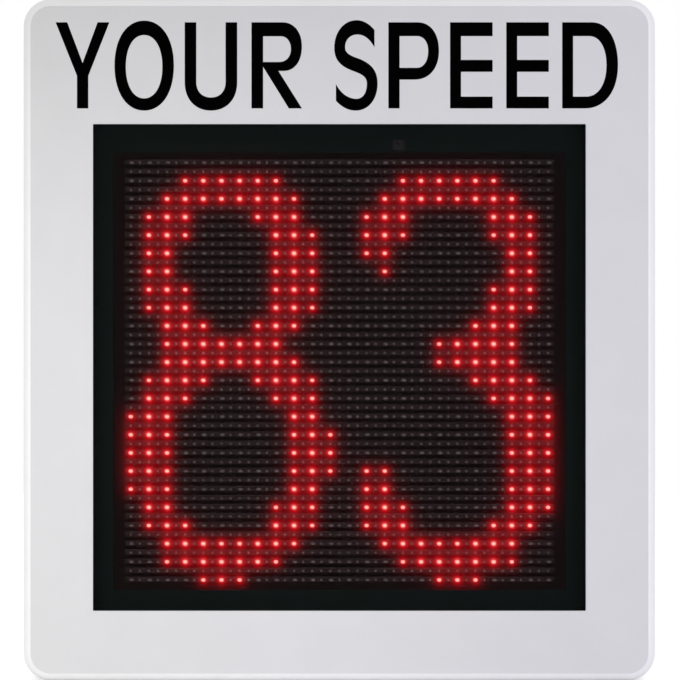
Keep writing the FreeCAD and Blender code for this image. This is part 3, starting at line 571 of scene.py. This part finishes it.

# %% Unlit lamps
# This lens is lighter than a clear lens. Part of that is its pale die, and part is a painted highlight for
# the glints on its dome.
lens_clear_and_glint = surface("lens_clear_and_glint", (0.125, 0.095, 0.098), 0.2, 700, specular=0.4, tone=0.25, relief=0.0)
dark_mesh = lens_mesh("unlit_red_lamps", dark_red_sites, half_width=0.0027, half_height=0.0016, length=0.0034,
                      skirt=0.0012, steps=12, rings=3, aside=0.0009)
add_halo(dark_mesh)
shine(lens_clear_and_glint)
place_piece("unlit_red_lamps", dark_mesh, lens_clear_and_glint, "chassis", 40)
# This lens is lighter than a clear lens. Part of that is its pale die, and part is a painted highlight for
# the glints on its dome.
small_clear_and_glint = surface("small_lens_and_glint", (0.135, 0.102, 0.105), 0.2, 700, specular=0.4, tone=0.25, relief=0.0)
small_mesh = lens_mesh("unlit_small_lamps", small_sites, half_width=0.0014, half_height=0.0014, length=0.0024,
                       skirt=0.0008, steps=8, rings=3)
add_halo(small_mesh)
shine(small_clear_and_glint)
place_piece("unlit_small_lamps", small_mesh, small_clear_and_glint, "chassis", 40)
print("unlit lenses", len(dark_mesh.polygons) + len(small_mesh.polygons), "faces")

# %% [markdown]
# ## Inside and back
# The rest is metal and plain moulded plastic: a mill finished tray, anodised rails, zinc plated fasteners,
# black batteries and grey housings. Metal gets a grain that is drawn out along its rolling direction.

# %% Metal
tray_metal = surface("tray_aluminium", (0.44, 0.45, 0.46), 0.42, 700, metal=1.0, tone=0.05, uneven=0.08,
                     relief=0.000006, stretch=(0.06, 1, 1))
dress(tray_metal, "chassis_tray", "seal_frame", "battery_shelf", "radar_bracket", "charge_regulator")
rail_metal = surface("rail_aluminium", (0.52, 0.53, 0.54), 0.33, 1100, metal=1.0, tone=0.03, uneven=0.06,
                     relief=0.000005, stretch=(0.03, 1, 1))
dress(rail_metal, "mounting_rail_lower", "mounting_rail_upper")
zinc = surface("zinc_steel", (0.50, 0.50, 0.475), 0.36, 2400, metal=1.0, tone=0.10, uneven=0.10,
               relief=0.000008)
zinc_names = ["retainer_screws", "pillar_screws", "display_pillars", "rail_bolts", "rail_nuts"]
zinc_names += [name for name in nodes if name.startswith(("hinge_", "lock_"))]
dress(zinc, *zinc_names)
print("zinc plated nodes", len(zinc_names))

# %% Plastic and boards
board = surface("board", (0.02, 0.10, 0.05), 0.4, 600, tone=0.15, relief=0.00001)
dress(board, "lamp_board_left", "lamp_board_right", "control_board")
sensor_black = surface("sensor_black", (0.014, 0.011, 0.011), 0.5, 1500, specular=0.05, tone=0.15,
                       relief=0.00003)
dress(sensor_black, "light_sensor")
black_moulding = surface("black_moulding", (0.02, 0.02, 0.021), 0.45, 1500, specular=0.3, tone=0.1,
                         relief=0.00003)
dress(black_moulding, "battery_strap")
battery_case = surface("battery_case", (0.05, 0.05, 0.055), 0.5, 1500, tone=0.08, relief=0.00003)
dress(battery_case, "battery_left", "battery_right")
grey_plastic = surface("grey_plastic", (0.50, 0.51, 0.52), 0.5, 1500, tone=0.03, relief=0.00003)
dress(grey_plastic, "control_box_base", "control_box_lid", "radar_housing")
dark_plastic = surface("dark_plastic", (0.045, 0.045, 0.047), 0.5, 1500, tone=0.08, relief=0.00003)
dress(dark_plastic, "terminal_strip", "radar_window", "cable_gland", "gland_nut", "breather_vent")
plastics = (board, sensor_black, black_moulding, battery_case, grey_plastic, dark_plastic)
print("plastic finishes", ", ".join(finish.name for finish in plastics))

# %% [markdown]
# ## Fasteners and fittings
# Screws, the cable gland and the breather are turned parts, so one function makes them all: a list of rings
# along an axis, each with its distance and radius, and a rule that can change both with the angle. Ribs and
# a cross recess are such rules. The places come from the plain bodies in the CAD model, one box for each
# separate body.

# %% Turned bodies
def body_boxes(name):
    """Boxes round the separate bodies of a CAD node."""
    mesh = nodes[name].data
    home = list(range(len(mesh.vertices)))

    def root(index):
        while home[index] != index:
            home[index] = home[home[index]]
            index = home[index]
        return index

    spots = {}
    for vertex in mesh.vertices:
        spot = tuple(round(100000 * side) for side in vertex.co)
        home[vertex.index] = spots.setdefault(spot, vertex.index)
    for edge in mesh.edges:
        home[root(edge.vertices[0])] = root(edge.vertices[1])
    groups = {}
    for vertex in mesh.vertices:
        groups.setdefault(root(vertex.index), []).append(vertex.co)
    boxes = []
    for points in groups.values():
        low = Vector(min(point[axis] for point in points) for axis in range(3))
        high = Vector(max(point[axis] for point in points) for axis in range(3))
        boxes.append((low, high))
    return boxes


def plain_ring(turn, along, radius):
    """Leaves a ring as it is."""
    return along, radius


def turn_body(build, start, facing, rings, steps, shape=plain_ring):
    """Adds a body of rings round an axis that points along Y. A ring with no radius closes an end."""
    loops = []
    for along, radius in rings:
        if radius == 0:
            loops.append([build.verts.new((start.x, start.y + facing * along, start.z))])
            continue
        loop = []
        for step in range(steps):
            turn = 2 * math.pi * step / steps
            far, wide = shape(turn, along, radius)
            loop.append(build.verts.new((start.x + wide * math.cos(turn), start.y + facing * far,
                                         start.z + wide * math.sin(turn))))
        loops.append(loop)
    for lower, upper in zip(loops, loops[1:]):
        for step in range(steps):
            after = (step + 1) % steps
            if len(lower) == 1:
                build.faces.new((lower[0], upper[step], upper[after]))
            elif len(upper) == 1:
                build.faces.new((lower[step], lower[after], upper[0]))
            else:
                build.faces.new((lower[step], lower[after], upper[after], upper[step]))


def finish_mesh(build, name):
    """Turns a build into a mesh with its faces outward."""
    bmesh.ops.recalc_face_normals(build, faces=build.faces)
    mesh = bpy.data.meshes.new(name)
    build.to_mesh(mesh)
    build.free()
    return mesh


print("screw bodies", len(body_boxes("pillar_screws")), "and", len(body_boxes("retainer_screws")))

# %% [markdown]
# Each screw has a domed pan head with a cross recess, and its thread is a row of shallow rings. It takes
# the place of the plain headed pin in the CAD model.

# %% Screws
screw_steps = 24
recess_depth = 0.0011
thread_run = 0.0008
slack = 0.0001


def cross_recess(turn, along, radius, head_end, recess_reach):
    """Pushes the four arms of the recess into the head."""
    arm = round(turn / (2 * math.pi) * screw_steps) % (screw_steps // 4) == 0
    if arm and radius < recess_reach and along > head_end:
        return along - recess_depth, radius
    return along, radius


def on_rim(point, low, high, head_radius):
    """Tells whether a point lies on the rim of a pin's head."""
    middle = (low + high) / 2
    aside = Vector((point.x - middle.x, 0, point.z - middle.z))
    within = max(abs(aside.x), abs(aside.z)) < 1.01 * head_radius
    return within and low.y - slack < point.y < high.y + slack and aside.length > 0.95 * head_radius


def screw_mesh(name, head_radius, head_height):
    """Screws in the places of a CAD node's pins."""
    build = bmesh.new()
    for low, high in body_boxes(name):
        middle = (low + high) / 2
        points = [vertex.co for vertex in nodes[name].data.vertices]
        rim = [point.y for point in points if on_rim(point, low, high, head_radius)]
        wide_end = min(rim, key=lambda y: min(y - low.y, high.y - y))
        facing = 1 if high.y - wide_end < wide_end - low.y else -1
        start = Vector((middle.x, low.y if facing > 0 else high.y, middle.z))
        length = high.y - low.y
        head_start = length - head_height
        shank = 0.5 * head_radius
        rings = [(0, 0), (0, 0.8 * shank)]
        turns = int(head_start / thread_run)
        for thread in range(turns):
            rings.append(((thread + 0.5) * head_start / turns, shank if thread % 2 else 0.86 * shank))
        rings += [(head_start, shank), (head_start, head_radius),
                  (head_start + 0.6 * head_height, head_radius),
                  (length - 0.12 * head_height, 0.86 * head_radius), (length, 0.56 * head_radius),
                  (length, 0.55 * head_radius), (length, 0.3 * head_radius), (length, 0.12 * head_radius),
                  (length - recess_depth, 0)]
        turn_body(build, start, facing, rings, screw_steps, lambda turn, along, radius: cross_recess(
            turn, along, radius, head_start, 0.555 * head_radius))
    return finish_mesh(build, name + "_crossed")


for name, body in (("pillar_screws", "chassis"), ("retainer_screws", "cover")):
    low, high = body_boxes(name)[0]
    head = (high.x - low.x) / 2
    piece = place_piece(name + "_crossed", screw_mesh(name, head, 0.55 * head), zinc, body, 35)
    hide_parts(name)
    print(name, "head radius in mm", round(1000 * head, 2), len(piece.data.polygons), "faces")

# %% [markdown]
# The gland seals a cord where it enters the back. A hexagon holds it on the wall, a ribbed dome nut
# squeezes a rubber ring, and a threaded tail goes inside to its nut. The breather lets air in and out
# through slots round its cap.

# %% Gland and breather
def six_sides(turn, width):
    """Radius of a hexagon across its flats at an angle."""
    part = math.radians(60)
    return width / 2 / math.cos((turn + part / 2) % part - part / 2)


gland_low, gland_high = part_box("cable_gland")
gland_middle = (gland_low + gland_high) / 2
gland_start = Vector((gland_middle.x, gland_low.y, gland_middle.z))
wall_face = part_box("chassis_tray")[1].y
gland_tail = wall_face - gland_low.y
gland_length = gland_high.y - gland_low.y
gland_bore = 0.005
hex_height = 0.006
hex_flats = 0.0208
dome_radius = 0.011
rib_depth = 0.0007
fitting_steps = 72


def gland_shape(turn, along, radius):
    """Hexagon near the wall, ribs on the dome."""
    if radius > 1.05 * dome_radius:
        return along, min(radius, six_sides(turn, hex_flats))
    if radius > 0.95 * dome_radius and along > gland_tail + hex_height:
        between_ribs = round(turn / (2 * math.pi) * fitting_steps) % 6 in (0, 1, 2)
        return along, radius - (rib_depth if between_ribs else 0)
    return along, radius


gland_rings = [(0, gland_bore), (0, 0.0074)]
thread_turns = int(gland_tail / 0.0007)
for thread in range(1, thread_turns):
    gland_rings.append((thread * gland_tail / thread_turns, 0.008 if thread % 2 else 0.0075))
hex_end = gland_tail + hex_height
gland_rings += [(gland_tail, 0.0078), (gland_tail, 0.0115), (gland_tail + 0.0006, 0.012),
                (hex_end - 0.0006, 0.012), (hex_end, 0.0115), (hex_end, 0.0098),
                (hex_end + 0.0008, 0.0098), (hex_end + 0.0008, dome_radius),
                (gland_length - 0.0040, dome_radius), (gland_length - 0.0034, 0.0102),
                (gland_length - 0.0012, 0.0089), (gland_length - 0.0003, 0.0081), (gland_length, 0.0074),
                (gland_length, 0.0068), (gland_length - 0.0012, 0.0066), (gland_length - 0.0012, gland_bore),
                (0, gland_bore)]
gland_build = bmesh.new()
turn_body(gland_build, gland_start, 1, gland_rings, fitting_steps, gland_shape)
gland_mesh = finish_mesh(gland_build, "gland_body")
gland = place_piece("gland_body", gland_mesh, dark_plastic, "chassis", 35)
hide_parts("cable_gland")
ring_build = bmesh.new()
ring_rings = [(gland_length - 0.0050, 0.0066), (gland_length - 0.0012, 0.0066),
              (gland_length - 0.0006, 0.0062), (gland_length - 0.0006, 0.0055),
              (gland_length - 0.0012, 0.00505), (gland_length - 0.0050, 0.00505),
              (gland_length - 0.0050, 0.0066)]
turn_body(ring_build, gland_start, 1, ring_rings, 48)
place_piece("gland_ring", finish_mesh(ring_build, "gland_ring"), rubber, "chassis", 35)

vent_low, vent_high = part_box("breather_vent")
vent_start = Vector(((vent_low.x + vent_high.x) / 2, vent_low.y, (vent_low.z + vent_high.z) / 2))
vent_stem = wall_face - vent_low.y
vent_length = vent_high.y - vent_low.y
vent_radius = (vent_high.x - vent_low.x) / 2
slot_depth = 0.0016


def vent_shape(turn, along, radius):
    """Slots round the cap between its foot and its crown."""
    slot = round(turn / (2 * math.pi) * fitting_steps) % 9 in (0, 1, 2, 3)
    slotted = vent_stem + 0.0012 < along < vent_stem + 0.0034
    return along, radius - (slot_depth if slot and slotted and radius > 0.9 * vent_radius else 0)


vent_rings = [(0, 0), (0, 0.0054)]
for thread in range(1, 10):
    vent_rings.append((thread * vent_stem / 10, 0.006 if thread % 2 else 0.0055))
vent_rings += [(vent_stem, 0.006), (vent_stem, vent_radius), (vent_stem + 0.0011, vent_radius),
               (vent_stem + 0.0013, vent_radius), (vent_stem + 0.0033, vent_radius),
               (vent_stem + 0.0035, vent_radius),
               (vent_length - 0.0016, vent_radius), (vent_length - 0.0005, vent_radius - 0.0006),
               (vent_length, vent_radius - 0.0018), (vent_length, 0.0058), (vent_length - 0.0006, 0.0053),
               (vent_length - 0.0006, 0.0018), (vent_length - 0.0002, 0.0014), (vent_length - 0.0002, 0)]
vent_build = bmesh.new()
turn_body(vent_build, vent_start, 1, vent_rings, fitting_steps, vent_shape)
vent_mesh = finish_mesh(vent_build, "vent_cap")
vent = place_piece("vent_cap", vent_mesh, dark_plastic, "chassis", 35)
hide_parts("breather_vent")
print("gland and vent", len(gland.data.polygons), len(vent.data.polygons), "faces")

# %% [markdown]
# ## Stage, light and camera
# The sign stands on a white floor in front of white, which looks white to the camera and in reflections but
# lights the sign less. Most light comes softly from everywhere. A distant lamp with a soft-edged beam
# brightens the lower left of the face, a weaker, cooler one the right, and a large one the back.

# %% World and floor
def for_lookers(tree):
    """Socket that is 1 for rays from the camera, mirrors and glass, and 0 for light that falls on things."""
    path = tree.nodes.new("ShaderNodeLightPath")
    total = path.outputs["Is Camera Ray"]
    for name in ("Is Glossy Ray", "Is Transmission Ray"):
        larger = tree.nodes.new("ShaderNodeMath")
        larger.operation = "MAXIMUM"
        tree.links.new(total, larger.inputs[0])
        tree.links.new(path.outputs[name], larger.inputs[1])
        total = larger.outputs[0]
    return total


world = bpy.data.worlds.new("world")
scene.world = world
world.use_nodes = True
sky = world.node_tree.nodes["Background"]
sky.inputs["Color"].default_value = (1, 1, 1, 1)
strength = world.node_tree.nodes.new("ShaderNodeMapRange")
strength.inputs["To Min"].default_value = 0.73
strength.inputs["To Max"].default_value = 1.0
world.node_tree.links.new(for_lookers(world.node_tree), strength.inputs["Value"])
world.node_tree.links.new(strength.outputs["Result"], sky.inputs["Strength"])

floor_mesh = bpy.data.meshes.new("floor")
floor_mesh.from_pydata([(-6, -8, 0), (6, -8, 0), (6, 6, 0), (-6, 6, 0)], [], [(0, 1, 2, 3)])
floor = bpy.data.objects.new("floor", floor_mesh)
scene.collection.objects.link(floor)
floor_white = bpy.data.materials.new("floor_white")
floor_white.use_nodes = True
floor_tree = floor_white.node_tree
floor_tree.nodes.clear()
floor_out = floor_tree.nodes.new("ShaderNodeOutputMaterial")
floor_matt = floor_tree.nodes.new("ShaderNodeBsdfDiffuse")
floor_matt.inputs["Color"].default_value = (0.85, 0.85, 0.85, 1)
floor_light = floor_tree.nodes.new("ShaderNodeEmission")
floor_light.inputs["Color"].default_value = (1, 1, 1, 1)
floor_lift = floor_tree.nodes.new("ShaderNodeMath")
floor_lift.operation = "MULTIPLY"
floor_lift.inputs[1].default_value = 0.45
floor_sum = floor_tree.nodes.new("ShaderNodeAddShader")
floor_tree.links.new(for_lookers(floor_tree), floor_lift.inputs[0])
floor_tree.links.new(floor_lift.outputs[0], floor_light.inputs["Strength"])
floor_tree.links.new(floor_matt.outputs[0], floor_sum.inputs[0])
floor_tree.links.new(floor_light.outputs[0], floor_sum.inputs[1])
floor_tree.links.new(floor_sum.outputs[0], floor_out.inputs["Surface"])
floor_mesh.materials.append(floor_white)
print("world and floor ready")


# %% Lights
def add_lamp(name, kind, place, target, power, colour):
    """Lamp that faces a point."""
    data = bpy.data.lights.new(name, kind)
    data.energy = power
    data.color = colour
    lamp = bpy.data.objects.new(name, data)
    lamp.location = place
    lamp.rotation_euler = (Vector(target) - Vector(place)).to_track_quat("-Z", "Y").to_euler()
    scene.collection.objects.link(lamp)
    return data


def beam(name, place, target, power, colour, angle):
    """Lamp with a round beam that fades from its middle to its edge."""
    data = add_lamp(name, "SPOT", place, target, power, colour)
    data.spot_size = math.radians(angle)
    data.spot_blend = 1.0
    data.shadow_soft_size = 0.2


sign_middle = (sign_low.z + sign_high.z) / 2
beam("key", (-2.0, -5.0, 0.52), (-0.44, sign_low.y, 0.14), power=360, colour=(1.0, 1.0, 0.99), angle=17.3)
beam("fill", (2.44, -4.7, 0.62), (0.6, sign_low.y, 0.36), power=300, colour=(0.79, 0.75, 1.0), angle=23.5)
add_lamp("rear", "AREA", (0.8, 2.8, 1.8), (0, 0, sign_middle), 20, (1.0, 1.0, 1.0)).size = 2.0

# %% Camera
camera_distance = 5.0
picture_width = 0.74616
picture_x = 0.00066
picture_z = 0.37398
sensor_width = 36.0
camera_data = bpy.data.cameras.new("camera")
camera_data.sensor_width = sensor_width
camera_data.lens = sensor_width * camera_distance / picture_width
camera = bpy.data.objects.new("camera", camera_data)
camera.location = (picture_x, film_low.y - camera_distance, picture_z)
camera.rotation_euler = (math.radians(90), 0, 0)
scene.collection.objects.link(camera)
scene.camera = camera
scene.view_settings.view_transform = "Standard"
print("lens in mm", round(camera_data.lens, 1))
